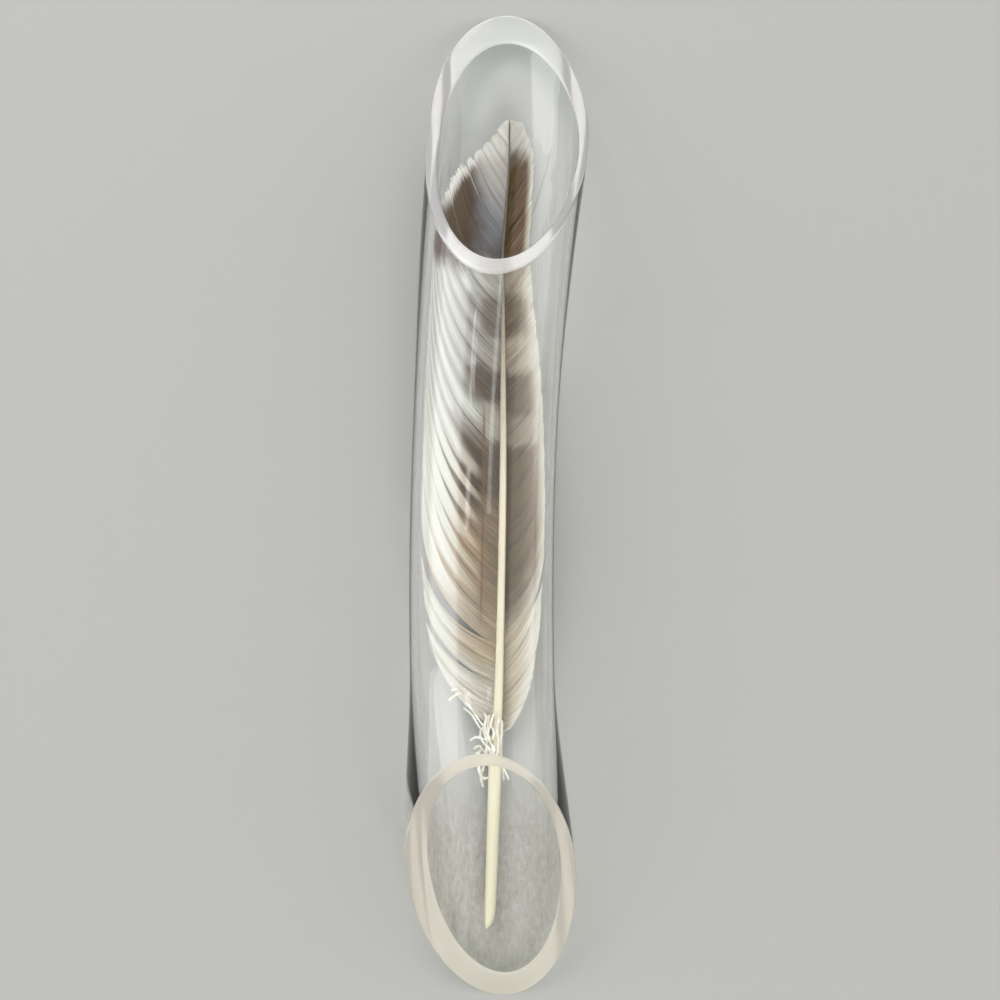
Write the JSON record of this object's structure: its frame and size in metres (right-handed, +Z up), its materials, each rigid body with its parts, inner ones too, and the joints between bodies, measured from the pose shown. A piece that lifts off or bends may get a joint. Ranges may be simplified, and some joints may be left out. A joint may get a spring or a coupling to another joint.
{
  "type": "barred flight feather in a clear glass tube vase",
  "caption": "A brown and white barred flight feather lying inside a bent, clear glass tube vase whose two slanted mouths face up.",
  "frame": {"origin": "middle of the footprint, on the surface that the tube lies on", "axes": "+Y along the tube towards the feather's tip, +X to the side of the narrow vane, +Z up out of the surface, the way both mouths face"},
  "size_m": [0.0508, 0.2778, 0.0422],
  "materials": {
    "glass_tube": "clear polished glass",
    "feather": "matt keratin barbs with a satin cream quill"
  },
  "bodies": {
    "root": {"glass_tube": "glass_tube", "feather": "feather"}
  },
  "joints": []
}
